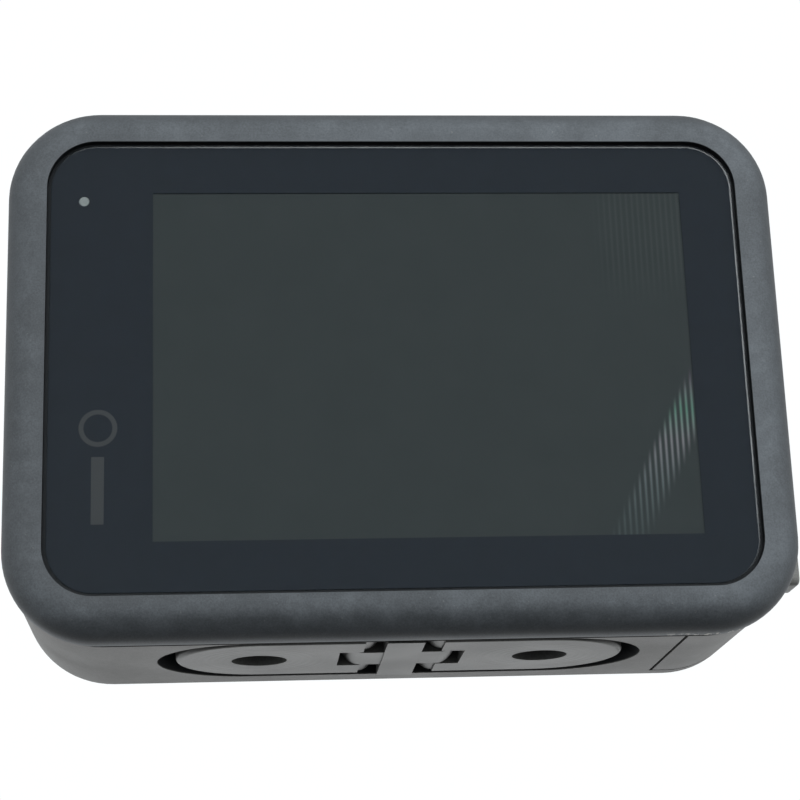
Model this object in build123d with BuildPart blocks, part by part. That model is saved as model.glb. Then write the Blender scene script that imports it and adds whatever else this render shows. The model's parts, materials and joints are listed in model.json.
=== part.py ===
from build123d import *
import os
os.makedirs("parts", exist_ok=True)

# A pocket action camera. Sizes are in millimetres.
# +X is to the right seen from the front, +Y is towards the rear screen, +Z is up.
# The origin is the middle of the base plane, on the underside of the folding mount's centre bar.

# ---- overall body ----
body_w = 69.85  # width across the rear bezel
body_h = 49.1  # height of the rear bezel
body_d = 25.0  # front texture to rear lip
corner_r = 8.3  # bezel corner seen from the rear
body_inset = 0.15  # housing set in from the bezel all round
wall = 1.8  # housing side walls
front_wall = 2.0  # housing front wall
front_round = 1.0  # rounding of the housing's front edge
rib_h = 0.3  # how far the front ribs stand proud

# ---- clearances ----
gap_move = 0.3  # between a moving piece and its neighbours
gap_seat = 0.1  # between fixed pieces that locate each other
gap_touch = 0.02  # between faces that rest on each other
fit_run = 0.05  # radial clearance of a turning fit
seam_gap = 0.15  # joint line between bezel and housing

# ---- rear screen side ----
bezel_d = 3.5
bezel_roll = 3.0
glass_open_w = 62.5
glass_open_h = 41.72
glass_open_r = 4.4
glass_open_z = body_h / 2 - 0.01
glass_t = 0.45
glass_set_in = 0.12
glass_edge_gap = 0.28
mask_t = 0.08
lcd_w = 48.0
lcd_h = 32.15
lcd_x = -2.13
lcd_z = glass_open_z - 0.04
lcd_t = 1.2
lcd_frame = 2.0
light_x = 28.0
light_z = 39.8
light_r = 0.44

# ---- derived body planes ----
rear_y = body_d / 2
seam_y = rear_y - bezel_d
front_y = -body_d / 2 + rib_h
shell_rear_y = seam_y - seam_gap
mid_z = body_h / 2
shell_w = body_w - 2 * body_inset
shell_h = body_h - 2 * body_inset
shell_r = corner_r + 0.2
side_x = shell_w / 2
shell_bot = body_inset
shell_top = body_h - body_inset
in_w = shell_w - 2 * wall
in_h = shell_h - 2 * wall
in_r = shell_r - wall
in_front_y = front_y + front_wall
glass_rear_y = rear_y - glass_set_in
glass_front_y = glass_rear_y - glass_t
mask_y = glass_front_y - gap_touch
mask_front_y = mask_y - mask_t
glass_w = glass_open_w - 2 * glass_edge_gap
glass_h = glass_open_h - 2 * glass_edge_gap

# ---- folding mount fingers ----
hinge_y = -0.3  # centre line of the fingers
finger_t = 3.0
finger_w = 15.0
finger_gap = 3.5  # space between the two fingers when they point down
finger_reach = 12.75  # middle of the body to the screw hole
finger_hole_r = 2.5
pin_r = 0.75
arm_w = 5.8
pivot_x = finger_gap / 2 + finger_t / 2 + 0.25
pivot_z = shell_bot + finger_t / 2 + 0.25
arm_r = pivot_z - shell_bot
knuckle_r = arm_r - 0.25
bar_half = finger_gap / 2 - 0.1
slot_end_x = pivot_x + arm_r + 0.35
pocket_w = finger_w + 1.2
pocket_half = finger_reach + finger_w / 2 + 1.65
pocket_top = pivot_z + arm_r + 0.4
tray_t = 1.5
tray_top = pocket_top + tray_t
tray_half = pocket_half + wall

# ---- battery door ----
door_edge_in = 10.15  # bezel side to the seam under the body
door_front_in = 2.7  # housing front to the seam across the body
door_gap_under = 1.2  # room between the door and the sill behind it
sill_t = 1.2
door_head = 8.5  # bezel top to the top of the door opening
door_open_x = -body_w / 2 + door_edge_in + gap_move / 2
door_open_y = front_y + door_front_in - gap_move / 2
door_open_z = body_h - door_head
barrel_r = 1.3
door_pivot_x = -side_x + 1.0
door_pivot_z = door_open_z + 1.0
barrel_front_y = -7.5
barrel_rear_y = 6.5
door_pin_r = 0.6
door_in_x = -side_x + wall
sill_out_x = door_in_x + door_gap_under
sill_in_x = sill_out_x + sill_t
latch_y = 1.4
latch_w = 4.4
latch_z = 7.1
latch_h = 3.2
latch_proud = 1.8
latch_travel = 1.5

# ---- battery, card and port ----
batt_t = 11.0
batt_front_y = -4.0
batt_bot = 12.4
batt_top = door_open_z - 1.5
batt_len = 39.0
batt_out_x = sill_in_x + 0.2
batt_h = batt_top - batt_bot
batt_mid_y = batt_front_y + batt_t / 2
batt_mid_z = (batt_top + batt_bot) / 2
port_y = batt_front_y - 2.6
port_z = 17.5
card_z = 31.0

# ---- lens ----
lens_x = side_x - 17.4
lens_z = shell_top - 17.2
cover_w = 30.5
cover_r = 8.0
cover_front_y = -body_d / 2 - 8.6
cover_back_y = -body_d / 2 - gap_move
cover_glass_r = 11.8
cover_glass_t = 1.8
skirt_r = 11.5
skirt_in_r = 10.8
mount_r = 13.9
mount_in_r = 12.9
mount_front_y = cover_back_y - 2.4
lug_angle = 26.0
barrel_lens_r = 10.2
plate_t = 0.9
plate_back_y = front_y + plate_t

# ---- front screen ----
window_w = 29.0
window_h = 24.5
window_r = 3.5
window_x = -side_x + 3.3 + window_w / 2
window_z = shell_top - 3.65 - window_h / 2
window_t = 1.0
small_lcd_w = 24.0
small_lcd_h = 19.6

# ---- buttons ----
shutter_x = -16.5
shutter_y = -1.5
shutter_r = 5.6
shutter_proud = 1.85
shutter_travel = 0.6
mode_y = -1.0
mode_z = 30.0
mode_len = 10.0
mode_w = 4.4
mode_proud = 0.45
mode_travel = 0.5

# ---- screws and bosses ----
boss_r = 1.7
head_r = 1.5
boss_x = side_x - 7.8
boss_top_z = shell_top - 4.3
boss_low_z = tray_top + 2.5
frame_y = seam_y - 1.0
frame_t = 0.6


def across(y):
    """The upright plane at depth y. It is drawn in X and Z, and extrudes towards the front."""
    return Plane.XZ.offset(-y)


lens_axis = Axis((lens_x, 0, lens_z), (0, 1, 0))
lens_section = Plane(origin=(lens_x, 0, lens_z), x_dir=(1, 0, 0), z_dir=(0, 0, 1))
boss_spots = [(-boss_x + 1.4, boss_top_z), (boss_x, boss_top_z), (boss_x, boss_low_z), (12.5, boss_low_z)]

# =====================================================================
# rear bezel: a soft rolled frame round the screen
# =====================================================================
with BuildPart() as rear_bezel:
    with BuildSketch(across(rear_y)):
        with Locations((0, mid_z)):
            RectangleRounded(body_w, body_h, corner_r)
    extrude(amount=bezel_d)
    rim = rear_bezel.faces().sort_by(Axis.Y)[-1].edges()
    fillet(rim, radius=bezel_roll)
    # the opening the glass drops into
    with BuildSketch(across(rear_y)):
        with Locations((0, glass_open_z)):
            RectangleRounded(glass_open_w, glass_open_h, glass_open_r)
    extrude(amount=rear_y - mask_front_y + gap_touch, mode=Mode.SUBTRACT)
    # the smaller opening behind it leaves a ledge under the glass
    with BuildSketch(across(rear_y)):
        with Locations((0, glass_open_z)):
            RectangleRounded(glass_open_w - 4.0, glass_open_h - 3.4, glass_open_r - 1.6)
    extrude(amount=bezel_d, mode=Mode.SUBTRACT)
    # a thin skirt reaches into the housing, clear of the door and of the finger tray
    with BuildSketch(across(seam_y)):
        with Locations((0, mid_z)):
            RectangleRounded(in_w - 2 * gap_seat, in_h - 2 * gap_seat, in_r - gap_seat)
            RectangleRounded(in_w - 1.4, in_h - 1.4, in_r - 0.7, mode=Mode.SUBTRACT)
        with Locations((0, 4.0)):
            Rectangle(body_w, 8.0, mode=Mode.SUBTRACT)
        with Locations((-body_w / 2, mid_z - 3.0)):
            Rectangle(24.0, body_h, mode=Mode.SUBTRACT)
    extrude(amount=2.0)
rear_bezel.part.label = "rear_bezel"
export_step(rear_bezel.part, "parts/rear_bezel.step")

# =====================================================================
# rear glass, its printed border, and the screen behind it
# =====================================================================
with BuildPart() as rear_glass:
    with BuildSketch(across(glass_rear_y)):
        with Locations((0, glass_open_z)):
            RectangleRounded(glass_w, glass_h, glass_open_r - glass_edge_gap)
    extrude(amount=glass_t)
    chamfer(rear_glass.faces().sort_by(Axis.Y)[-1].edges(), length=0.12)
rear_glass.part.label = "rear_glass"
export_step(rear_glass.part, "parts/rear_glass.step")

with BuildPart() as screen_mask:
    with BuildSketch(across(mask_y)):
        with Locations((0, glass_open_z)):
            RectangleRounded(glass_w - 0.1, glass_h - 0.1, glass_open_r - glass_edge_gap - 0.05)
        with Locations((lcd_x, lcd_z)):
            Rectangle(lcd_w, lcd_h, mode=Mode.SUBTRACT)
        with Locations((light_x, light_z)):
            Circle(light_r + 0.05, mode=Mode.SUBTRACT)
    extrude(amount=mask_t)
screen_mask.part.label = "screen_mask"
export_step(screen_mask.part, "parts/screen_mask.step")

lcd_rear_y = mask_front_y - gap_touch
with BuildPart() as lcd_panel:
    with BuildSketch(across(lcd_rear_y)):
        with Locations((lcd_x, lcd_z)):
            Rectangle(lcd_w + 2 * lcd_frame, lcd_h + 2 * lcd_frame)
    extrude(amount=lcd_t)
lcd_panel.part.label = "lcd_panel"
export_step(lcd_panel.part, "parts/lcd_panel.step")

with BuildPart() as rear_status_light:
    with BuildSketch(across(mask_y - 0.01)):
        with Locations((light_x, light_z)):
            Circle(light_r)
    extrude(amount=1.0)
    with BuildSketch(across(mask_y - 0.5)):
        with Locations((light_x, light_z)):
            Rectangle(1.4, 2.4)
    extrude(amount=0.7)
rear_status_light.part.label = "rear_status_light"
export_step(rear_status_light.part, "parts/rear_status_light.step")

# =====================================================================
# rear frame: the metal plate behind the screen, and its screws
# =====================================================================
frame_left = sill_in_x + 0.4
frame_right = in_w / 2 - 1.3
frame_low = tray_top + 0.5
frame_high = shell_top - wall - 1.3
with BuildPart() as rear_frame:
    with BuildSketch(across(frame_y)):
        with Locations(((frame_left + frame_right) / 2, (frame_low + frame_high) / 2)):
            RectangleRounded(frame_right - frame_left, frame_high - frame_low, in_r - 0.7)
        with Locations(*boss_spots):
            Circle(0.9, mode=Mode.SUBTRACT)
        with Locations((lcd_x + 14.0, lcd_z - 9.0)):
            RectangleRounded(14.0, 3.0, 1.0, mode=Mode.SUBTRACT)
    extrude(amount=frame_t)
rear_frame.part.label = "rear_frame"
export_step(rear_frame.part, "parts/rear_frame.step")

with BuildPart() as frame_screws:
    for x, z in boss_spots:
        with BuildSketch(across(frame_y + gap_touch)):
            with Locations((x, z)):
                Circle(0.8)
        extrude(amount=6.0)
        with BuildSketch(across(frame_y + gap_touch + 0.6)):
            with Locations((x, z)):
                Circle(head_r)
        extrude(amount=0.6)
        with BuildSketch(across(frame_y + gap_touch + 0.6)):
            with Locations((x, z)):
                Rectangle(1.7, 0.35)
                Rectangle(0.35, 1.7)
        extrude(amount=0.35, mode=Mode.SUBTRACT)
frame_screws.part.label = "frame_screws"
export_step(frame_screws.part, "parts/frame_screws.step")

# =====================================================================
# main housing
# =====================================================================
shell_depth = shell_rear_y - front_y
with BuildPart() as main_housing:
    with BuildSketch(across(shell_rear_y)):
        with Locations((0, mid_z)):
            RectangleRounded(shell_w, shell_h, shell_r)
    extrude(amount=shell_depth)
    fillet(main_housing.faces().sort_by(Axis.Y)[0].edges(), radius=front_round)
    with BuildSketch(across(shell_rear_y)):
        with Locations((0, mid_z)):
            RectangleRounded(in_w, in_h, in_r)
    extrude(amount=shell_rear_y - in_front_y, mode=Mode.SUBTRACT)
    # columns for the screws that hold the rear frame
    with BuildSketch(across(frame_y - frame_t - gap_touch)):
        with Locations(*boss_spots):
            Circle(boss_r)
    extrude(amount=frame_y - frame_t - gap_touch - in_front_y + 0.1)
    with BuildSketch(across(frame_y)):
        with Locations(*boss_spots):
            Circle(0.8 + gap_touch)
    extrude(amount=7.0, mode=Mode.SUBTRACT)
    # the thick rim round the battery door
    with BuildSketch(across(shell_rear_y)):
        with Locations((0, mid_z)):
            RectangleRounded(shell_w - 2.0, shell_h - 2.0, shell_r - 1.0)
            deep = wall + door_gap_under + sill_t
            RectangleRounded(shell_w - 2 * deep, shell_h - 2 * deep, shell_r - deep, mode=Mode.SUBTRACT)
        rim_right = door_open_x + 1.5
        rim_top = door_open_z + 3.4
        with Locations(((rim_right - body_w / 2) / 2, rim_top / 2)):
            Rectangle(rim_right + body_w / 2, rim_top, mode=Mode.INTERSECT)
    extrude(amount=shell_rear_y - in_front_y + 0.1)
    # the tray that holds the folding fingers
    with BuildSketch(Plane.XY.offset(shell_bot + 0.5)):
        with Locations((0, (shell_rear_y + in_front_y - 0.1) / 2)):
            Rectangle(2 * tray_half, shell_rear_y - in_front_y + 0.1)
    extrude(amount=tray_top - shell_bot - 0.5)
    with BuildSketch(Plane.XY.offset(-1.0)):
        with Locations((0, hinge_y)):
            SlotOverall(2 * pocket_half, pocket_w)
    extrude(amount=pocket_top + 1.0, mode=Mode.SUBTRACT)
    # the rebate the door closes into
    with BuildSketch(across(shell_rear_y)):
        with Locations((0, mid_z)):
            RectangleRounded(shell_w + 2.0, shell_h + 2.0, shell_r + 1.0)
            cut = wall + door_gap_under
            RectangleRounded(shell_w - 2 * cut, shell_h - 2 * cut, shell_r - cut, mode=Mode.SUBTRACT)
        with Locations(((door_open_x - body_w) / 2, (door_open_z - 10) / 2)):
            Rectangle(door_open_x + body_w, door_open_z + 10, mode=Mode.INTERSECT)
    extrude(amount=shell_rear_y - door_open_y, mode=Mode.SUBTRACT)
    # the groove the door's barrel turns in, with a pin hole through both cheeks
    with BuildSketch(across(barrel_rear_y + gap_move)):
        with Locations((door_pivot_x, door_pivot_z)):
            Circle(barrel_r + gap_move)
        with Locations((-side_x - 1.0, door_pivot_z)):
            Rectangle(2.0, 1.9)
    extrude(amount=barrel_rear_y - barrel_front_y + 2 * gap_move, mode=Mode.SUBTRACT)
    with BuildSketch(across(barrel_rear_y + 1.6)):
        with Locations((door_pivot_x, door_pivot_z)):
            Circle(door_pin_r + gap_touch)
    extrude(amount=barrel_rear_y - barrel_front_y + 3.0, mode=Mode.SUBTRACT)
    # windows in the sill for the battery, the port and the card
    with BuildSketch(Plane.YZ.offset(sill_out_x - 0.1)):
        with Locations((batt_mid_y, batt_mid_z)):
            Rectangle(batt_t + 0.6, batt_h + 0.6)
        with Locations((port_y, port_z)):
            SlotOverall(9.4, 3.4, rotation=90)
        with Locations((port_y, card_z)):
            Rectangle(1.6, 12.0)
    extrude(amount=sill_t + 0.4, mode=Mode.SUBTRACT)
    # the shallow recess in the front for the ribbed plate
    with BuildSketch(across(plate_back_y)):
        with Locations((0, mid_z)):
            RectangleRounded(shell_w - 4.2, shell_h - 4.2, shell_r - 2.1)
    extrude(amount=plate_t + 1.0, mode=Mode.SUBTRACT)
    # holes through the front wall
    with BuildSketch(across(in_front_y + 0.2)):
        with Locations((lens_x, lens_z)):
            Circle(barrel_lens_r + 0.3)
        with Locations((window_x, window_z)):
            RectangleRounded(small_lcd_w - 1.0, small_lcd_h - 1.0, 1.5)
        with Locations((-2.0 + window_x + window_w / 2, window_z - window_h / 2 - 4.0)):
            Circle(0.6)
        with Locations((window_x, window_z - window_h / 2 - 4.0)):
            Circle(0.9)
    extrude(amount=front_wall + 1.0, mode=Mode.SUBTRACT)
    # the shutter button's hole in the top
    with BuildSketch(Plane.XY.offset(shell_top - wall - 0.2)):
        with Locations((shutter_x, shutter_y)):
            Circle(shutter_r + gap_move)
    extrude(amount=wall + 1.0, mode=Mode.SUBTRACT)
    # the mode button's hole and the speaker slots in the side away from the door
    with BuildSketch(Plane.YZ.offset(side_x - wall - 0.2)):
        with Locations((mode_y, mode_z)):
            SlotOverall(mode_len + 2 * gap_move, mode_w + 2 * gap_move, rotation=90)
        for n in range(5):
            with Locations((-6.0 + 2.0 * n, 13.5)):
                SlotOverall(6.0, 0.9, rotation=90)
    extrude(amount=wall + 1.0, mode=Mode.SUBTRACT)
    # screw holes for the hinge bracket
    with BuildSketch(Plane.XY.offset(pocket_top - 0.5)):
        with Locations((0, hinge_y - 5.5), (0, hinge_y + 5.5)):
            Circle(0.9)
    extrude(amount=tray_t + 1.0, mode=Mode.SUBTRACT)
main_housing.part.label = "main_housing"
export_step(main_housing.part, "parts/main_housing.step")

# =====================================================================
# front plate with its ribs
# =====================================================================
rib_pitch = 1.7
rib_top_z = min(window_z - window_h / 2, lens_z - cover_w / 2) - 2.0
rib_count = int((rib_top_z - shell_bot - 4.0) / rib_pitch)
with BuildPart() as front_plate:
    with BuildSketch(across(plate_back_y - gap_touch)):
        with Locations((0, mid_z)):
            RectangleRounded(shell_w - 4.4, shell_h - 4.4, shell_r - 2.2)
        with Locations((lens_x, lens_z)):
            Circle(mount_r + 0.2, mode=Mode.SUBTRACT)
        with Locations((window_x, window_z)):
            RectangleRounded(window_w + 0.3, window_h + 0.3, window_r + 0.15, mode=Mode.SUBTRACT)
        with Locations((-2.0 + window_x + window_w / 2, window_z - window_h / 2 - 4.0)):
            Circle(0.5, mode=Mode.SUBTRACT)
        with Locations((window_x, window_z - window_h / 2 - 4.0)):
            Circle(0.75, mode=Mode.SUBTRACT)
    extrude(amount=plate_t - gap_touch)
    # ribs run across the lower part, kept inside the plate's rounded outline
    with BuildSketch(across(front_y)):
        for n in range(rib_count):
            with Locations((0, shell_bot + 4.0 + rib_pitch * n)):
                SlotOverall(shell_w - 16.0, 0.8)
        with Locations((-2.0 + window_x + window_w / 2, window_z - window_h / 2 - 4.0)):
            Circle(1.2, mode=Mode.SUBTRACT)
        with Locations((window_x, window_z - window_h / 2 - 4.0)):
            Circle(1.4, mode=Mode.SUBTRACT)
    extrude(amount=rib_h)
front_plate.part.label = "front_plate"
export_step(front_plate.part, "parts/front_plate.step")

# =====================================================================
# front window, small screen and status light
# =====================================================================
with BuildPart() as front_window:
    with BuildSketch(across(plate_back_y - gap_touch)):
        with Locations((window_x, window_z)):
            RectangleRounded(window_w, window_h, window_r)
    extrude(amount=window_t)
    chamfer(front_window.faces().sort_by(Axis.Y)[0].edges(), length=0.15)
front_window.part.label = "front_window"
export_step(front_window.part, "parts/front_window.step")

with BuildPart() as front_lcd:
    with BuildSketch(across(in_front_y + 1.2)):
        with Locations((window_x, window_z)):
            Rectangle(small_lcd_w, small_lcd_h)
    extrude(amount=1.1)
front_lcd.part.label = "front_lcd"
export_step(front_lcd.part, "parts/front_lcd.step")

with BuildPart() as front_status_light:
    with BuildSketch(across(in_front_y + 1.0)):
        with Locations((window_x, window_z - window_h / 2 - 4.0)):
            Circle(0.7)
    extrude(amount=in_front_y + 1.0 - front_y)
front_status_light.part.label = "front_status_light"
export_step(front_status_light.part, "parts/front_status_light.step")

# =====================================================================
# lens mount, twist-off cover, seal and cover glass
# =====================================================================
lug_turns = [45.0 + 90.0 * n for n in range(4)]
tab_front_y = mount_front_y
tab_t = 1.0
with BuildPart() as lens_mount_ring:
    with BuildSketch(across(plate_back_y - gap_touch)):
        with Locations((lens_x, lens_z)):
            Circle(mount_r)
            Circle(barrel_lens_r + 0.3, mode=Mode.SUBTRACT)
    extrude(amount=plate_t)
    with BuildSketch(across(front_y)):
        with Locations((lens_x, lens_z)):
            Circle(mount_r)
            Circle(mount_in_r, mode=Mode.SUBTRACT)
    extrude(amount=front_y - mount_front_y)
    # four inward tabs hook over the cover's lugs
    with BuildSketch(across(tab_front_y + tab_t)):
        for turn in lug_turns:
            with BuildSketch(mode=Mode.PRIVATE) as one_tab:
                with BuildLine():
                    Line((0, 0), (20, 0))
                    b = CenterArc((0, 0), 20, 0, lug_angle)
                    Line(b @ 1, (0, 0))
                make_face()
                Circle(mount_in_r + 0.1, mode=Mode.INTERSECT)
                Circle(skirt_r + 0.4, mode=Mode.SUBTRACT)
            with Locations(Location((lens_x, lens_z), turn - lug_angle / 2)):
                add(one_tab.sketch)
    extrude(amount=tab_t)
lens_mount_ring.part.label = "lens_mount_ring"
export_step(lens_mount_ring.part, "parts/lens_mount_ring.step")

cavity_depth = cover_back_y - mount_front_y + 0.7
with BuildPart() as lens_cover_frame:
    with BuildSketch(across(cover_back_y)):
        with Locations((lens_x, lens_z)):
            RectangleRounded(cover_w, cover_w, cover_r)
    extrude(amount=cover_back_y - cover_front_y)
    fillet(lens_cover_frame.faces().sort_by(Axis.Y)[0].edges(), radius=2.0)
    fillet(lens_cover_frame.faces().sort_by(Axis.Y)[-1].edges(), radius=0.4)
    # room for the mount ring
    with BuildSketch(across(cover_back_y)):
        with Locations((lens_x, lens_z)):
            Circle(mount_r + gap_move)
    extrude(amount=cavity_depth, mode=Mode.SUBTRACT)
    # the bore the lens looks through, and the seat for the glass
    with BuildSketch(across(cover_back_y)):
        with Locations((lens_x, lens_z)):
            Circle(skirt_in_r)
    extrude(amount=cover_back_y - cover_front_y, mode=Mode.SUBTRACT)
    with BuildSketch(across(cover_front_y + cover_glass_t + 0.5)):
        with Locations((lens_x, lens_z)):
            Circle(cover_glass_r + gap_seat)
    extrude(amount=cover_glass_t + 0.5, mode=Mode.SUBTRACT)
    # the inner skirt and its four lugs
    with BuildSketch(across(front_y - 0.35)):
        with Locations((lens_x, lens_z)):
            Circle(skirt_r)
            Circle(skirt_in_r, mode=Mode.SUBTRACT)
    extrude(amount=cavity_depth + 0.3)
    with BuildSketch(across(tab_front_y + tab_t + gap_move + 0.8)):
        for turn in lug_turns:
            with BuildSketch(mode=Mode.PRIVATE) as one_lug:
                with BuildLine():
                    Line((0, 0), (20, 0))
                    b = CenterArc((0, 0), 20, 0, lug_angle)
                    Line(b @ 1, (0, 0))
                make_face()
                Circle(mount_in_r - 0.3, mode=Mode.INTERSECT)
                Circle(skirt_r - 0.1, mode=Mode.SUBTRACT)
            with Locations(Location((lens_x, lens_z), turn - lug_angle / 2)):
                add(one_lug.sketch)
    extrude(amount=0.8)
lens_cover_frame.part.label = "lens_cover_frame"
export_step(lens_cover_frame.part, "parts/lens_cover_frame.step")

with BuildPart() as lens_cover_glass:
    with BuildSketch(across(cover_front_y + 0.4 + cover_glass_t)):
        with Locations((lens_x, lens_z)):
            Circle(cover_glass_r)
    extrude(amount=cover_glass_t)
    chamfer(lens_cover_glass.faces().sort_by(Axis.Y)[0].edges(), length=0.25)
lens_cover_glass.part.label = "lens_cover_glass"
export_step(lens_cover_glass.part, "parts/lens_cover_glass.step")

with BuildPart() as lens_cover_seal:
    with BuildSketch(across(front_y - gap_seat)):
        with Locations((lens_x, lens_z)):
            Circle(skirt_r - 0.1)
            Circle(skirt_in_r + 0.1, mode=Mode.SUBTRACT)
    extrude(amount=0.22)
lens_cover_seal.part.label = "lens_cover_seal"
export_step(lens_cover_seal.part, "parts/lens_cover_seal.step")

# =====================================================================
# lens barrel, lens elements, sensor and its board
# =====================================================================
barrel_back_y = in_front_y + 1.6
barrel_nose_y = cover_front_y + 0.4 + cover_glass_t + 1.0
with BuildPart() as lens_barrel:
    with BuildSketch(across(barrel_back_y)):
        with Locations((lens_x, lens_z)):
            Circle(barrel_lens_r)
    extrude(amount=barrel_back_y - barrel_nose_y)
    with BuildSketch(across(barrel_back_y)):
        with Locations((lens_x, lens_z)):
            Circle(barrel_lens_r + 1.4)
    extrude(amount=1.4)
    # stepped bore
    with BuildSketch(across(barrel_nose_y + 2.6)):
        with Locations((lens_x, lens_z)):
            Circle(8.6)
    extrude(amount=3.0, mode=Mode.SUBTRACT)
    with BuildSketch(across(barrel_back_y)):
        with Locations((lens_x, lens_z)):
            Circle(6.4)
    extrude(amount=barrel_back_y - barrel_nose_y, mode=Mode.SUBTRACT)
    chamfer(lens_barrel.edges().filter_by(GeomType.CIRCLE).group_by(Axis.Y)[0], length=0.3)
lens_barrel.part.label = "lens_barrel"
export_step(lens_barrel.part, "parts/lens_barrel.step")

with BuildPart() as front_element:
    with BuildSketch(lens_section):
        with BuildLine():
            ThreePointArc((0, barrel_nose_y - 0.6), (4.6, barrel_nose_y - 0.1), (8.5, barrel_nose_y + 1.4))
            Line((8.5, barrel_nose_y + 1.4), (8.5, barrel_nose_y + 2.58))
            Line((8.5, barrel_nose_y + 2.58), (0, barrel_nose_y + 2.58))
            Line((0, barrel_nose_y + 2.58), (0, barrel_nose_y - 0.6))
        make_face()
    revolve(axis=lens_axis)
front_element.part.label = "front_element"
export_step(front_element.part, "parts/front_element.step")

with BuildPart() as rear_elements:
    with BuildSketch(across(barrel_back_y - 0.4)):
        with Locations((lens_x, lens_z)):
            Circle(6.35)
    extrude(amount=2.4)
rear_elements.part.label = "rear_elements"
export_step(rear_elements.part, "parts/rear_elements.step")

sensor_y = barrel_back_y + 1.3
with BuildPart() as image_sensor:
    with BuildSketch(across(sensor_y)):
        with Locations((lens_x, lens_z)):
            Rectangle(9.0, 7.0)
    extrude(amount=1.0)
image_sensor.part.label = "image_sensor"
export_step(image_sensor.part, "parts/image_sensor.step")

with BuildPart() as sensor_board:
    with BuildSketch(across(sensor_y + gap_touch + 0.9)):
        with Locations((lens_x, lens_z)):
            RectangleRounded(18.0, 17.0, 1.5)
    extrude(amount=0.9)
sensor_board.part.label = "sensor_board"
export_step(sensor_board.part, "parts/sensor_board.step")

# =====================================================================
# main board, processor shield, heat block, battery contacts
# =====================================================================
board_left = batt_out_x + batt_len + 2.1
board_right = boss_x - boss_r + 0.9
board_y = 2.5
with BuildPart() as main_board:
    with BuildSketch(across(board_y)):
        with Locations(((board_left + board_right) / 2, (boss_low_z + boss_top_z) / 2)):
            Rectangle(board_right - board_left, boss_top_z - boss_low_z - 2 * boss_r - 0.8)
    extrude(amount=1.0)
main_board.part.label = "main_board"
export_step(main_board.part, "parts/main_board.step")

chip_x = (board_left + board_right) / 2
with BuildPart() as processor_shield:
    with BuildSketch(across(board_y + gap_touch + 1.8)):
        with Locations((chip_x, mid_z - 1.0)):
            RectangleRounded(13.0, 15.0, 0.8)
    extrude(amount=1.8)
processor_shield.part.label = "processor_shield"
export_step(processor_shield.part, "parts/processor_shield.step")

with BuildPart() as heat_block:
    with BuildSketch(across(frame_y - frame_t - gap_touch)):
        with Locations((chip_x, mid_z - 1.0)):
            RectangleRounded(12.0, 14.0, 0.8)
    extrude(amount=frame_y - frame_t - board_y - 1.8 - 3 * gap_touch)
heat_block.part.label = "heat_block"
export_step(heat_block.part, "parts/heat_block.step")

with BuildPart() as battery_contacts:
    with BuildSketch(Plane.YZ.offset(batt_out_x + batt_len + 0.1)):
        with Locations((batt_mid_y, batt_mid_z)):
            Rectangle(7.0, 12.0)
    extrude(amount=1.4)
battery_contacts.part.label = "battery_contacts"
export_step(battery_contacts.part, "parts/battery_contacts.step")

# =====================================================================
# battery with its pull tab, card and socket, port
# =====================================================================
with BuildPart() as battery:
    with BuildSketch(Plane.YZ.offset(batt_out_x)):
        with Locations((batt_mid_y, batt_mid_z)):
            RectangleRounded(batt_t, batt_h, 1.2)
    extrude(amount=batt_len)
battery.part.label = "battery"
export_step(battery.part, "parts/battery.step")

with BuildPart() as battery_tab:
    with BuildSketch(Plane.YZ.offset(batt_out_x - 0.32)):
        with Locations((batt_mid_y, batt_mid_z)):
            RectangleRounded(5.0, 12.0, 1.0)
    extrude(amount=0.3)
battery_tab.part.label = "battery_tab"
export_step(battery_tab.part, "parts/battery_tab.step")

with BuildPart() as card_socket:
    with BuildSketch(Plane.YZ.offset(sill_in_x + 0.1)):
        with Locations((port_y, card_z)):
            Rectangle(2.2, 12.6)
            Rectangle(1.2, 11.4, mode=Mode.SUBTRACT)
    extrude(amount=14.0)
card_socket.part.label = "card_socket"
export_step(card_socket.part, "parts/card_socket.step")

with BuildPart() as memory_card:
    with BuildSketch(Plane.YZ.offset(sill_in_x - 0.3)):
        with Locations((port_y, card_z)):
            Rectangle(0.8, 11.0)
    extrude(amount=14.2)
memory_card.part.label = "memory_card"
export_step(memory_card.part, "parts/memory_card.step")

with BuildPart() as charge_port:
    with BuildSketch(Plane.YZ.offset(sill_out_x + 0.3)):
        with Locations((port_y, port_z)):
            SlotOverall(9.0, 3.2, rotation=90)
            SlotOverall(8.4, 2.6, rotation=90, mode=Mode.SUBTRACT)
    extrude(amount=7.4)
    with BuildSketch(Plane.YZ.offset(sill_out_x + 7.0)):
        with Locations((port_y, port_z)):
            SlotOverall(9.0, 3.2, rotation=90)
    extrude(amount=0.7)
    with BuildSketch(Plane.YZ.offset(sill_out_x + 1.2)):
        with Locations((port_y, port_z)):
            Rectangle(0.7, 6.2)
    extrude(amount=6.2)
charge_port.part.label = "charge_port"
export_step(charge_port.part, "parts/charge_port.step")

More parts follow.
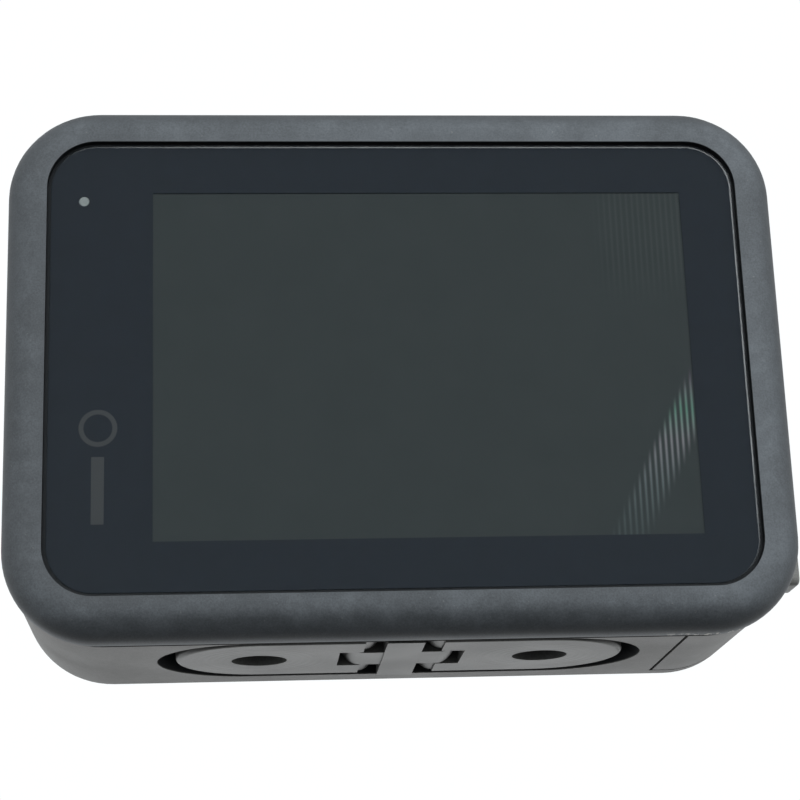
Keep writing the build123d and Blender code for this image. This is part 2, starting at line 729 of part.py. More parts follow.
# =====================================================================
# shutter button, its coloured ring and its switch
# =====================================================================
cap_top = shell_top + shutter_proud
flange_top = shell_top - wall - gap_seat
with BuildPart() as shutter_button:
    with BuildSketch(Plane.XY.offset(flange_top - 0.1)):
        with Locations((shutter_x, shutter_y)):
            Circle(shutter_r)
    extrude(amount=cap_top - flange_top + 0.1)
    fillet(shutter_button.faces().sort_by(Axis.Z)[-1].edges(), radius=0.5)
    # groove for the ring, then a shallow dish inside it
    with BuildSketch(Plane.XY.offset(cap_top - 0.3)):
        with Locations((shutter_x, shutter_y)):
            Circle(shutter_r - 0.9)
            Circle(shutter_r - 1.7, mode=Mode.SUBTRACT)
    extrude(amount=0.5, mode=Mode.SUBTRACT)
    with BuildSketch(Plane.XY.offset(cap_top - 0.12)):
        with Locations((shutter_x, shutter_y)):
            Circle(shutter_r - 2.2)
    extrude(amount=0.5, mode=Mode.SUBTRACT)
    with BuildSketch(Plane.XY.offset(flange_top - 0.7)):
        with Locations((shutter_x, shutter_y)):
            Circle(shutter_r + 0.9)
    extrude(amount=0.7)
    with BuildSketch(Plane.XY.offset(flange_top - 1.7)):
        with Locations((shutter_x, shutter_y)):
            Circle(2.0)
    extrude(amount=1.2)
shutter_button.part.label = "shutter_button"
export_step(shutter_button.part, "parts/shutter_button.step")

with BuildPart() as shutter_ring:
    with BuildSketch(Plane.XY.offset(cap_top - 0.29)):
        with Locations((shutter_x, shutter_y)):
            Circle(shutter_r - 0.93)
            Circle(shutter_r - 1.67, mode=Mode.SUBTRACT)
    extrude(amount=0.27)
shutter_ring.part.label = "shutter_ring"
export_step(shutter_ring.part, "parts/shutter_ring.step")

with BuildPart() as shutter_switch:
    with BuildSketch(Plane.XY.offset(flange_top - 4.1)):
        with Locations((shutter_x, shutter_y)):
            Rectangle(7.0, 9.0)
    extrude(amount=0.8)
    with BuildSketch(Plane.XY.offset(flange_top - 3.35)):
        with Locations((shutter_x, shutter_y)):
            Circle(2.6)
    extrude(amount=0.75)
shutter_switch.part.label = "shutter_switch"
export_step(shutter_switch.part, "parts/shutter_switch.step")

# =====================================================================
# mode button and its switch
# =====================================================================
mode_flange_x = side_x - wall - gap_seat
with BuildPart() as mode_button:
    with BuildSketch(Plane.YZ.offset(mode_flange_x - 0.1)):
        with Locations((mode_y, mode_z)):
            SlotOverall(mode_len, mode_w, rotation=90)
    extrude(amount=side_x + mode_proud - mode_flange_x + 0.1)
    fillet(mode_button.faces().sort_by(Axis.X)[-1].edges(), radius=0.4)
    with BuildSketch(Plane.YZ.offset(mode_flange_x - 0.6)):
        with Locations((mode_y, mode_z)):
            SlotOverall(mode_len + 1.6, mode_w + 1.6, rotation=90)
    extrude(amount=0.6)
    with BuildSketch(Plane.YZ.offset(mode_flange_x - 1.2)):
        with Locations((mode_y, mode_z)):
            Circle(1.0)
    extrude(amount=0.8)
mode_button.part.label = "mode_button"
export_step(mode_button.part, "parts/mode_button.step")

with BuildPart() as mode_switch:
    with BuildSketch(Plane.YZ.offset(mode_flange_x - 3.2)):
        with Locations((mode_y, mode_z)):
            Rectangle(5.0, 7.0)
    extrude(amount=1.3)
mode_switch.part.label = "mode_switch"
export_step(mode_switch.part, "parts/mode_switch.step")

# =====================================================================
# battery door, gasket, latch, pin
# =====================================================================
door_edge_x = door_open_x - gap_move
door_front_y = door_open_y + gap_move
door_rear_y = seam_y - gap_move
door_top = door_open_z - 0.4
with BuildPart() as battery_door:
    with BuildSketch(across(door_rear_y)):
        with Locations((0, mid_z)):
            RectangleRounded(shell_w, shell_h, shell_r)
            RectangleRounded(in_w, in_h, in_r, mode=Mode.SUBTRACT)
        with Locations(((door_edge_x - body_w) / 2, (door_top - 10) / 2)):
            Rectangle(door_edge_x + body_w, door_top + 10, mode=Mode.INTERSECT)
    extrude(amount=door_rear_y - door_front_y)
    # barrel along the top, joined to the panel by a short web
    with BuildSketch(across(barrel_rear_y)):
        with Locations((door_pivot_x, door_pivot_z)):
            Circle(barrel_r)
        with Locations(((-side_x + door_in_x) / 2, (door_top + door_pivot_z) / 2 - 0.2)):
            Rectangle(wall, door_pivot_z - door_top + 0.4)
    extrude(amount=barrel_rear_y - barrel_front_y)
    with BuildSketch(across(barrel_rear_y + 1.0)):
        with Locations((door_pivot_x, door_pivot_z)):
            Circle(door_pin_r + fit_run)
    extrude(amount=barrel_rear_y - barrel_front_y + 2.0, mode=Mode.SUBTRACT)
    # slot for the latch
    with BuildSketch(Plane.YZ.offset(-side_x - 1.0)):
        with Locations((latch_y, latch_z + latch_travel / 2)):
            Rectangle(latch_w + 2 * gap_move, latch_h + latch_travel + 2 * gap_move)
    extrude(amount=wall + 2.0, mode=Mode.SUBTRACT)
battery_door.part.label = "battery_door"
export_step(battery_door.part, "parts/battery_door.step")

latch_flange_z = latch_z + 2.0
latch_flange_h = latch_h + 0.6
gasket_low = latch_flange_z + latch_flange_h / 2 + latch_travel + 0.4
gasket_high = door_top - 0.4
with BuildPart() as door_gasket:
    with BuildSketch(Plane.YZ.offset(door_in_x + gap_touch)):
        with Locations(((door_front_y + door_rear_y) / 2, (gasket_low + gasket_high) / 2)):
            RectangleRounded(door_rear_y - door_front_y - 0.4, gasket_high - gasket_low, 2.0)
            RectangleRounded(door_rear_y - door_front_y - 1.8, gasket_high - gasket_low - 1.4, 1.3, mode=Mode.SUBTRACT)
    extrude(amount=door_gap_under - 0.1)
door_gasket.part.label = "door_gasket"
export_step(door_gasket.part, "parts/door_gasket.step")

with BuildPart() as door_latch:
    with BuildSketch(Plane.YZ.offset(-side_x - latch_proud)):
        with Locations((latch_y, latch_z)):
            RectangleRounded(latch_w, latch_h, 0.7)
    extrude(amount=latch_proud + wall + 0.5)
    fillet(door_latch.faces().sort_by(Axis.X)[0].edges(), radius=0.35)
    with BuildSketch(Plane.YZ.offset(door_in_x + 0.4)):
        with Locations((latch_y, latch_flange_z)):
            Rectangle(latch_w + 1.6, latch_flange_h)
    extrude(amount=0.5)
door_latch.part.label = "door_latch"
export_step(door_latch.part, "parts/door_latch.step")

with BuildPart() as door_pin:
    with BuildSketch(across(barrel_rear_y + 1.4)):
        with Locations((door_pivot_x, door_pivot_z)):
            Circle(door_pin_r)
    extrude(amount=barrel_rear_y - barrel_front_y + 2.6)
door_pin.part.label = "door_pin"
export_step(door_pin.part, "parts/door_pin.step")

# =====================================================================
# folding fingers, their bracket, pins and screws
# =====================================================================
with BuildPart() as hinge_bracket:
    # the bar down the middle of the pocket
    with BuildSketch(Plane.XY):
        with Locations((0, hinge_y)):
            Rectangle(2 * bar_half, pocket_w - 0.1)
    extrude(amount=pocket_top - gap_touch)
    # an arm each side, round at the end, carries the hinge pins
    with BuildSketch(across(hinge_y + arm_w / 2)):
        with Locations((0, (pocket_top - gap_touch + shell_bot) / 2)):
            Rectangle(2 * pivot_x, pocket_top - gap_touch - shell_bot)
        with Locations((pivot_x, pivot_z), (-pivot_x, pivot_z)):
            Circle(arm_r)
    extrude(amount=arm_w)
    with BuildSketch(across(hinge_y + arm_w / 2 + 1)):
        with Locations((pivot_x, pivot_z), (-pivot_x, pivot_z)):
            Circle(pin_r + gap_touch)
    extrude(amount=arm_w + 2, mode=Mode.SUBTRACT)
    with BuildSketch(Plane.XY.offset(pocket_top - 2.6)):
        with Locations((0, hinge_y - 5.5), (0, hinge_y + 5.5)):
            Circle(0.62)
    extrude(amount=3.0, mode=Mode.SUBTRACT)
hinge_bracket.part.label = "hinge_bracket"
export_step(hinge_bracket.part, "parts/hinge_bracket.step")

with BuildPart() as bracket_screws:
    with BuildSketch(Plane.XY.offset(pocket_top - 2.4)):
        with Locations((0, hinge_y - 5.5), (0, hinge_y + 5.5)):
            Circle(0.6)
    extrude(amount=tray_t + 2.4 + 0.1)
    with BuildSketch(Plane.XY.offset(tray_top + gap_touch)):
        with Locations((0, hinge_y - 5.5), (0, hinge_y + 5.5)):
            Circle(1.3)
    extrude(amount=0.8)
bracket_screws.part.label = "bracket_screws"
export_step(bracket_screws.part, "parts/bracket_screws.step")

with BuildPart() as hinge_pins:
    with BuildSketch(across(hinge_y + finger_w / 2 - 0.3)):
        with Locations((pivot_x, pivot_z), (-pivot_x, pivot_z)):
            Circle(pin_r)
    extrude(amount=finger_w - 0.6)
hinge_pins.part.label = "hinge_pins"
export_step(hinge_pins.part, "parts/hinge_pins.step")

slot_half = arm_w / 2 + gap_move
with BuildPart() as finger_right:
    with BuildSketch(Plane.XY.offset(shell_bot)):
        with Locations((finger_reach, hinge_y)):
            Circle(finger_w / 2)
        with Locations(((pivot_x + finger_reach) / 2, hinge_y)):
            Rectangle(finger_reach - pivot_x, finger_w)
    extrude(amount=finger_t)
    edges_round = finger_right.faces().sort_by(Axis.Z)[0].edges().filter_by(GeomType.CIRCLE)
    fillet(edges_round, radius=0.4)
    with BuildSketch(across(hinge_y + finger_w / 2)):
        with Locations((pivot_x, pivot_z)):
            Circle(knuckle_r)
    extrude(amount=finger_w)
    with BuildSketch(Plane.XY.offset(-1.0)):
        with Locations(((bar_half + slot_end_x) / 2, hinge_y)):
            Rectangle(slot_end_x - bar_half, 2 * slot_half)
        with Locations((finger_reach, hinge_y)):
            Circle(finger_hole_r)
    extrude(amount=6.0, mode=Mode.SUBTRACT)
    with BuildSketch(across(hinge_y + finger_w)):
        with Locations((pivot_x, pivot_z)):
            Circle(pin_r + fit_run)
    extrude(amount=2 * finger_w, mode=Mode.SUBTRACT)
finger_right.part.label = "finger_right"
export_step(finger_right.part, "parts/finger_right.step")

with BuildPart() as finger_left:
    add(mirror(finger_right.part, about=Plane.YZ))
finger_left.part.label = "finger_left"
export_step(finger_left.part, "parts/finger_left.step")

# =====================================================================
# speaker, its mesh, microphones
# =====================================================================
with BuildPart() as speaker_mesh:
    with BuildSketch(Plane.YZ.offset(side_x - wall - 0.15)):
        with Locations((-2.0, 13.5)):
            RectangleRounded(12.0, 8.0, 1.0)
    extrude(amount=0.13)
speaker_mesh.part.label = "speaker_mesh"
export_step(speaker_mesh.part, "parts/speaker_mesh.step")

with BuildPart() as speaker:
    with BuildSketch(Plane.YZ.offset(side_x - wall - 3.6)):
        with Locations((-2.0, 13.5)):
            RectangleRounded(12.0, 9.0, 1.0)
    extrude(amount=3.4)
speaker.part.label = "speaker"
export_step(speaker.part, "parts/speaker.step")

with BuildPart() as microphone:
    with BuildSketch(across(in_front_y + 1.2)):
        with Locations((-2.0 + window_x + window_w / 2, window_z - window_h / 2 - 4.0)):
            Rectangle(3.0, 3.0)
    extrude(amount=1.1)
microphone.part.label = "microphone"
export_step(microphone.part, "parts/microphone.step")
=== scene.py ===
# %% [markdown]
# # A pocket action camera, finished in Blender
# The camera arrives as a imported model: every solid is already in its place, in metres, and rides on
# the body it moves with. This lesson adds what a solid can't carry: finishes, small parts, light
# and a viewpoint.

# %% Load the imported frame
import bpy
import bmesh
import json
import math
from mathutils import Matrix, Vector

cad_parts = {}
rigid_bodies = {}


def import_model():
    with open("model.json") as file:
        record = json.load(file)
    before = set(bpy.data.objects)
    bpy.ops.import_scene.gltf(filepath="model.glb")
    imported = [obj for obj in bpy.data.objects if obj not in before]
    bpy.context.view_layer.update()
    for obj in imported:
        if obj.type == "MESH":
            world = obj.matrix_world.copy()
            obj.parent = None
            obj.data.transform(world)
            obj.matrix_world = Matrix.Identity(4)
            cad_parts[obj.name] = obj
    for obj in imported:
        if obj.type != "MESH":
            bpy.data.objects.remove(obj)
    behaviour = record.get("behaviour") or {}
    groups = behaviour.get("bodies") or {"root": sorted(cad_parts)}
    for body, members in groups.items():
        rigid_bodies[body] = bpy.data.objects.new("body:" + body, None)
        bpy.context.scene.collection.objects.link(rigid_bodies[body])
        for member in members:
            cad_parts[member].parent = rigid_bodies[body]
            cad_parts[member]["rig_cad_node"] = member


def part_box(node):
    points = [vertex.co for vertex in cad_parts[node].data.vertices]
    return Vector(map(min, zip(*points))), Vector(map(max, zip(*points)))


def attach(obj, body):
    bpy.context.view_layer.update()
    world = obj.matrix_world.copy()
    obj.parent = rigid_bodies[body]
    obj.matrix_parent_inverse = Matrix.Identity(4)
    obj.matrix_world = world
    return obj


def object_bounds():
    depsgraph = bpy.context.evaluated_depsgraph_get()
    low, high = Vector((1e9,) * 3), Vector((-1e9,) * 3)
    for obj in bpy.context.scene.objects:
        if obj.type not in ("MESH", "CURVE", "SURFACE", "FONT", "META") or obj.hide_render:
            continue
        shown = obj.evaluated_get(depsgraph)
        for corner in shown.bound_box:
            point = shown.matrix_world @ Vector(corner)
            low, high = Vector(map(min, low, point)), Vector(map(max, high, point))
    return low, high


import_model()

cad_low, cad_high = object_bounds()
print("frame box", tuple(round(v, 4) for v in cad_low), tuple(round(v, 4) for v in cad_high))
MM = 0.001

# %% [markdown]
# ## Writing shader maths as Python
# A finish is mostly arithmetic on position: grain, specks, stripes, a worn line along a seam.
# Adding Math nodes by hand hides that arithmetic. One small class wraps a socket and overloads the
# operators, so that a mask reads like the formula it is.

# %% A socket that can be added, multiplied and compared
class Wire:
    def __init__(self, finish, socket):
        self.finish = finish
        self.socket = socket

    def math(self, operation, *others):
        node = self.finish.tree.nodes.new("ShaderNodeMath")
        node.operation = operation
        for place, value in enumerate((self,) + others):
            self.finish.feed(node.inputs[place], value)
        return Wire(self.finish, node.outputs[0])

    def __add__(self, other):
        return self.math("ADD", other)

    def __radd__(self, other):
        return self.math("ADD", other)

    def __sub__(self, other):
        return self.math("SUBTRACT", other)

    def __rsub__(self, other):
        return self.math("MULTIPLY", -1.0).math("ADD", other)

    def __mul__(self, other):
        return self.math("MULTIPLY", other)

    def __rmul__(self, other):
        return self.math("MULTIPLY", other)

    def __gt__(self, other):
        return self.math("GREATER_THAN", other)

    def __lt__(self, other):
        return self.math("LESS_THAN", other)


# %% [markdown]
# ## One object per finish
# `Finish` makes a material, keeps its shader, and has one method that adds any other node. Position
# comes from Object coordinates, scaled to millimetres so that every number below is a real size.

# %% A material with a few helpers
class Finish:
    def __init__(self, name):
        self.material = bpy.data.materials.new(name)
        self.material.use_nodes = True
        self.tree = self.material.node_tree
        self.shader = self.tree.nodes["Principled BSDF"]
        self.out = self.tree.nodes["Material Output"]
        place = self.tree.nodes.new("ShaderNodeTexCoord")
        self.mm = self.scaled(Wire(self, place.outputs["Object"]), 1.0 / MM)
        split = self.tree.nodes.new("ShaderNodeSeparateXYZ")
        self.feed(split.inputs[0], self.mm)
        self.x, self.y, self.z = (Wire(self, s) for s in split.outputs)

    def feed(self, socket, value):
        if isinstance(value, Wire):
            self.tree.links.new(value.socket, socket)
        else:
            socket.default_value = value

    def add(self, kind, settings, inputs, output=0):
        node = self.tree.nodes.new(kind)
        for key, value in settings.items():
            setattr(node, key, value)
        for key, value in inputs.items():
            self.feed(node.inputs[key], value)
        return Wire(self, node.outputs[output])

    def scaled(self, vector, factor):
        inputs = {0: vector, "Scale": factor}
        return self.add("ShaderNodeVectorMath", {"operation": "SCALE"}, inputs, "Vector")

    def noise(self, scale, detail=3.0, roughness=0.6):
        inputs = {"Vector": self.mm, "Scale": scale, "Detail": detail, "Roughness": roughness}
        return self.add("ShaderNodeTexNoise", {}, inputs, "Fac")

    def cells(self, scale, randomness=1.0):
        inputs = {"Vector": self.mm, "Scale": scale, "Randomness": randomness}
        return self.add("ShaderNodeTexVoronoi", {}, inputs, "Distance")

    def step(self, value, low, high):
        inputs = {"Value": value, "From Min": low, "From Max": high}
        return self.add("ShaderNodeMapRange", {"interpolation_type": "SMOOTHSTEP"}, inputs, "Result")

    def wave(self, value, pitch):
        return (value * (2.0 * math.pi / pitch)).math("SINE")

    def mix(self, factor, first, second):
        node = self.tree.nodes.new("ShaderNodeMix")
        node.data_type = "RGBA"
        self.feed(node.inputs[0], factor)
        self.feed(node.inputs[6], first)
        self.feed(node.inputs[7], second)
        return Wire(self, node.outputs[2])

    def bump(self, height, strength, distance_mm):
        inputs = {"Height": height, "Strength": strength, "Distance": distance_mm * MM}
        normal = self.add("ShaderNodeBump", {}, inputs, "Normal")
        self.feed(self.shader.inputs["Normal"], normal)

    def set(self, **values):
        for key, value in values.items():
            self.feed(self.shader.inputs[key.replace("_", " ")], value)
        return self


def rgb(r, g, b):
    return (r, g, b, 1.0)


def blended(skin, factor, first, second):
    return skin.mix(factor, rgb(*first), rgb(*second))


# %% [markdown]
# ## Moulded plastic with a fine grain
# The shell has a spark-eroded grain: bumps about a fifth of a millimetre across, soft patches where
# hands have polished it, and a few pale specks of dust. An image could carry this, but it would
# repeat and blur, so all three are noise at different sizes. The grain drives the bump, the patches
# drive roughness, and both tint the colour slightly.

# %% Grained plastic
PLASTIC_IOR = 1.47


def grained(name, colour, roughness, grain=7.0, depth=0.35, patch=0.06, dust=0.012):
    skin = Finish(name)
    fine = skin.noise(grain, 4.0, 0.65)
    patches = skin.noise(0.11, 3.0, 0.55)
    streaks = skin.noise(0.9, 5.0, 0.7)
    pale = tuple(min(1.0, c * 1.28) for c in colour)
    dark = tuple(c * 0.76 for c in colour)
    blotch = skin.step(fine * 0.55 + streaks * 0.25 + patches * 0.2, 0.33, 0.67)
    tone = blended(skin, blotch, dark, pale)
    specks = skin.step(skin.noise(3.1, 1.0, 0.5), 0.755, 0.80)
    skin.tone = skin.mix(specks * dust * 10.0, tone, rgb(0.42, 0.42, 0.40))
    worn = (patches - 0.5) * patch * 4.0 + (fine - 0.5) * 0.08
    skin.set(Base_Color=skin.tone, Roughness=roughness + worn, IOR=PLASTIC_IOR)
    skin.bump(fine * 0.7 + streaks * 0.3, depth, 0.05)
    return skin


# %% [markdown]
# The joint between the rolled rear frame and the battery door takes knocks, so its edge is chipped:
# small pale nicks in a band less than a millimetre wide. The mask is the product of a band in Y,
# ranges in X and Z, an outer-skin test and a noise threshold, so the chips sit only on that edge.

# %% Worn seam
def chip_seam(skin, y_low, y_high):
    band = (skin.y > y_low) * (skin.y < y_high)
    outside = (skin.z < 0.6).math("MAXIMUM", skin.x < -34.2)
    corner = skin.step(skin.x, -21.0, -25.0) * skin.step(skin.z, 9.0, 4.0) * outside
    nicks = skin.step(skin.noise(1.5, 3.0, 0.7), 0.52, 0.58)
    skin.tone = skin.mix(band * corner * nicks, skin.tone, rgb(0.72, 0.70, 0.66))
    skin.set(Base_Color=skin.tone)
    return skin


# %% [markdown]
# ## Shade that follows the shape
# The flat beside the screen is paler, partly as smudges from handling and partly as a painted
# highlight where it faces the light behind, and it grows paler toward the top and the door side. The
# lower roll gets painted shade above a painted highlight on the rim by the seam, and the top roll a
# little painted shade. A factor made from position scales the grain's colour there. First, one helper
# measures how far a point lies round the opening's rounded corners, so that the same outline serves
# the frame's wall and the edge of the glass.

# %% Distance from a rounded opening
def box_mm(node):
    low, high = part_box(node)
    return Vector(low) / MM, Vector(high) / MM


pane_low, pane_high = box_mm("rear_glass")
pane_mid = (pane_low + pane_high) / 2
pane_half = (pane_high - pane_low) / 2


def corner_reach(skin, corner_r, grow=0.0):
    straight_x = pane_half.x + grow - corner_r
    straight_z = pane_half.z + grow - corner_r
    out_x = ((skin.x - pane_mid.x).math("ABSOLUTE") - straight_x).math("MAXIMUM", 0.0)
    out_z = ((skin.z - pane_mid.z).math("ABSOLUTE") - straight_z).math("MAXIMUM", 0.0)
    return (out_x * out_x + out_z * out_z).math("SQRT")


print("rear glass", tuple(round(2 * half, 2) for half in (pane_half.x, pane_half.z)), "mm")

# %% [markdown]
# The wall of the opening is painted near black as painted shade, so the gap round the glass reads as
# a thin black line. The factor below is a sum, one named mask for each thing that makes the frame
# paler or darker.

# %% Rear frame
GLASS_GAP = 0.28
OPENING_R = 4.4
bezel_skin = grained("bezel_grain", (0.073, 0.083, 0.092), 0.56, grain=6.0, depth=0.25)
# Painted light and shade: the flat is paler partly as a painted highlight and partly from real
# smudges, the low and top rolls get painted shade, and the rim by the seam a painted highlight.
flat = bezel_skin.step(bezel_skin.y, 11.2, 12.5)
top_and_door_side = bezel_skin.step(bezel_skin.z * 0.02 - bezel_skin.x * 0.02, 0.0, 1.0)
smudge = bezel_skin.step(bezel_skin.noise(0.22, 4.0, 0.7), 0.42, 0.66) - 0.4
low_roll_shade = bezel_skin.step(bezel_skin.z, 2.5, 1.3) * bezel_skin.step(bezel_skin.y, 9.4, 10.8)
low_rim_highlight = bezel_skin.step(bezel_skin.y, 10.7, 9.7) * bezel_skin.step(bezel_skin.z, 9.0, 5.0)
top_roll_shade = bezel_skin.step(bezel_skin.z, 46.8, 48.4)
paler = flat * (top_and_door_side * 0.36 + smudge * 0.22 + 0.06) + low_rim_highlight * 0.9
darker = low_roll_shade * 0.34 + top_roll_shade * 0.24
bezel_skin.tone = bezel_skin.scaled(bezel_skin.tone, paler - darker + 1.0)
# Painted shade: the wall of the glass opening is painted near black.
wall = corner_reach(bezel_skin, OPENING_R, grow=GLASS_GAP) < OPENING_R + 0.03
bezel_skin.tone = bezel_skin.mix(wall, bezel_skin.tone, rgb(0.006, 0.008, 0.01))
chip_seam(bezel_skin, 8.9, 9.7)
print("opening", tuple(round(2 * (half + GLASS_GAP), 2) for half in (pane_half.x, pane_half.z)), "mm")

# %% [markdown]
# Along the seam, the body has a fine line of painted shade, standing in for the shadow in the gap
# under the rear frame. It is a matt shader of its own, because even black plastic shines when it is
# seen at a shallow angle. The pocket that the fingers lie in is painted nearly black, as painted
# shade.

# %% Body, door, buttons and latch
POCKET_HALF_X = 23.5
POCKET_HALF_Y = 8.6
HINGE_Y = -0.3


def seam_line(skin):
    # Painted shade: a matt black line along the joint stands in for the shadow in the gap under the
    # rear frame.
    start = skin.step(skin.z, 0.3, 3.0) * 0.75 + 7.75
    seam_gap_shade = skin.add("ShaderNodeBsdfDiffuse", {}, {"Color": rgb(0.004, 0.004, 0.004)}, 0)
    joint = skin.tree.nodes.new("ShaderNodeMixShader")
    skin.feed(joint.inputs[0], skin.step(skin.y - start, 0.0, 0.15))
    skin.feed(joint.inputs[1], Wire(skin, skin.shader.outputs[0]))
    skin.feed(joint.inputs[2], seam_gap_shade)
    skin.feed(skin.out.inputs["Surface"], Wire(skin, joint.outputs[0]))
    return skin


body_skin = seam_line(grained("body_grain", (0.116, 0.115, 0.110), 0.47, grain=5.0, depth=0.4))
inside_x = body_skin.x.math("ABSOLUTE") < POCKET_HALF_X
inside_y = (body_skin.y - HINGE_Y).math("ABSOLUTE") < POCKET_HALF_Y
# Painted shade: the pocket the fingers lie in is painted nearly black.
pocket_shade = body_skin.step(body_skin.z, 0.17, 0.3) * (body_skin.z < 6.0) * inside_x * inside_y
body_skin.set(Base_Color=body_skin.mix(pocket_shade, body_skin.tone, rgb(0.003, 0.005, 0.008)))
door_skin = seam_line(grained("door_grain", (0.107, 0.107, 0.101), 0.47, grain=5.0, depth=0.4))
button_skin = grained("button_grain", (0.06, 0.064, 0.068), 0.45, grain=8.0, depth=0.2)
latch_skin = grained("latch_grain", (0.19, 0.195, 0.19), 0.42, grain=8.0, depth=0.2)
print("plastic finishes:", len(bpy.data.materials))

# %% [markdown]
# ## The folding fingers
# Each finger has a dished ring round the screw hole, with a painted highlight that makes it brighter
# than the rest. The distance from the hole's centre gives the rings, by Pythagoras on X and Y.

# %% Fingers and bracket
HOLE_X = 12.75


def finger_finish(name, hole_x, hole_y):
    skin = grained(name, (0.100, 0.102, 0.098), 0.40, grain=5.0, depth=0.3, patch=0.05)
    from_x, from_y = skin.x - hole_x, skin.y - hole_y
    radius = (from_x * from_x + from_y * from_y).math("SQRT")
    rings = (radius * 9.0).math("SINE") * skin.step(radius, 6.4, 5.6) * skin.step(radius, 2.6, 3.0)
    # Painted highlight: the dished ring round the hole is painted brighter.
    dish_highlight = skin.step(radius, 2.4, 3.1) * skin.step(radius, 5.4, 4.4)
    skin.set(Base_Color=skin.mix(dish_highlight * 0.35, skin.tone, rgb(0.19, 0.195, 0.19)))
    skin.bump(rings * 0.25 + skin.noise(5.0) * 0.7, 0.35, 0.05)
    return skin


finger_right_skin = finger_finish("finger_right_dish_highlight", HOLE_X, HINGE_Y)
finger_left_skin = finger_finish("finger_left_dish_highlight", -HOLE_X, HINGE_Y)
bracket_skin = grained("bracket_grain", (0.092, 0.094, 0.091), 0.40, grain=6.0, depth=0.25)
print("finger holes at x =", HOLE_X, "and", -HOLE_X, "mm")

# %% [markdown]
# ## Ribbed front plate
# The plate's real ribs are solids. Between them runs a finer machined line, too small to be worth
# solids, so it is a wave in the bump.

# %% Front plate
RIB_PITCH = 0.85
plate_skin = grained("front_plate_grain", (0.062, 0.068, 0.074), 0.5, grain=6.0, depth=0.3)
fine_lines = plate_skin.wave(plate_skin.z, RIB_PITCH) * plate_skin.step(plate_skin.z, 19.0, 17.5)
plate_skin.bump(fine_lines * 0.5 + plate_skin.noise(6.0) * 0.5, 0.5, 0.08)
print("front plate nodes", len(plate_skin.tree.nodes))

# %% [markdown]
# ## Glass you can see through
# Cover glass is clear, so light has to reach the print behind it. A refracting shader blocks most
# of that light. A see-through shader mixed with a gloss one, weighted by Fresnel, lets light and
# shadow through and still reflects more at a glancing angle, as real glass does. The rear pane needs
# no reflection of its own, since the print just behind it is as glossy, so its index is 1. Its cut
# edge does catch light along the top and the door side, in a line a tenth of a millimetre wide.

# %% Clear glass
def rim_glint(pane, corner_r=4.12, width=0.15):
    across_x = (pane.x - pane_mid.x) * (1.0 / pane_half.x)
    across_z = (pane.z - pane_mid.z) * (1.0 / pane_half.z)
    lit_side = pane.step(across_z - across_x, -0.1, 0.6)
    line = pane.step(corner_reach(pane, corner_r), corner_r - width, corner_r - width * 0.6)
    return line * lit_side * (pane.noise(0.5) + 0.3)


def clear_glass(name, tint, roughness, smear=0.02, index=1.5, edge=0.0):
    pane = Finish(name)
    pane.tree.nodes.remove(pane.shader)
    through = pane.add("ShaderNodeBsdfTransparent", {}, {"Color": tint}, 0)
    smudge = pane.noise(0.07, 4.0, 0.6)
    shine = pane.add("ShaderNodeBsdfGlossy", {}, {"Color": rgb(1, 1, 1), "Roughness": roughness}, 0)
    fresnel = pane.add("ShaderNodeFresnel", {}, {"IOR": index}, 0)
    blend = pane.tree.nodes.new("ShaderNodeMixShader")
    gloss = fresnel + pane.step(smudge, 0.45, 0.75) * smear
    if edge > 0.0:
        gloss = gloss + rim_glint(pane) * edge
    pane.feed(blend.inputs[0], gloss)
    pane.feed(blend.inputs[1], through)
    pane.feed(blend.inputs[2], shine)
    pane.feed(pane.out.inputs["Surface"], Wire(pane, blend.outputs[0]))
    return pane


rear_pane = clear_glass("rear_pane", rgb(0.94, 0.96, 0.97), 0.06, smear=0.0, index=1.0, edge=0.3)
lens_pane = clear_glass("lens_pane", rgb(0.95, 0.96, 0.97), 0.02, smear=0.004)
coated_glass = clear_glass("coated_glass", rgb(0.35, 0.30, 0.55), 0.02, smear=0.0)
print("panes:", rear_pane.material.name, lens_pane.material.name, coated_glass.material.name)

# %% [markdown]
# ## The printed border and the screen
# Behind the pane, the border is black ink with a faint blue cast. A plain printed tick, a ring over a
# short bar, marks which way up the camera is held. The unlit screen is a slightly lighter, greener
# black. An arc of pale stripes near one side is a painted reflection, standing in for raking light
# caught by its fine columns, tinted green and violet where the arc is highest.

# %% Printed border
MARK_X, RING_Z, BAR_Z = 26.6, 18.6, 13.0
PRINT_GLOSS = 0.14
ink = Finish("border_ink")
ink_x, ring_z = ink.x - MARK_X, ink.z - RING_Z
ring_d = (ink_x * ink_x + ring_z * ring_z).math("SQRT")
ring_mark = ink.step(ring_d, 1.72, 1.62) * ink.step(ring_d, 1.20, 1.30)
bar_mark = (ink_x.math("ABSOLUTE") < 0.55) * ((ink.z - BAR_Z).math("ABSOLUTE") < 3.0)
marks = ring_mark.math("MAXIMUM", bar_mark)
ink_tone = blended(ink, ink.noise(0.5), (0.0165, 0.0200, 0.0245), (0.0185, 0.0230, 0.0300))
marked = ink.mix(marks, ink_tone, rgb(0.052, 0.054, 0.055))
ink.set(Base_Color=marked, Roughness=ink.noise(0.3) * 0.04 + 0.10, Specular_IOR_Level=PRINT_GLOSS)
print("ring and bar printed at x =", MARK_X, "mm")

# %% [markdown]
# The arc is a slanted coordinate: X plus about half of Z is constant along it. A band in that
# coordinate, times a sine in X, makes the stripes, and a colour ramp up Z tints them.

# %% Unlit screen
DOT_PITCH, STRIPE_PITCH = 0.09, 0.52
screen = Finish("unlit_screen")
grid = screen.wave(screen.x, DOT_PITCH) * screen.wave(screen.z, DOT_PITCH)
stripe = screen.wave(screen.x, STRIPE_PITCH) * 0.5 + 0.5
arc = screen.x + screen.z * 0.53 + 13.5
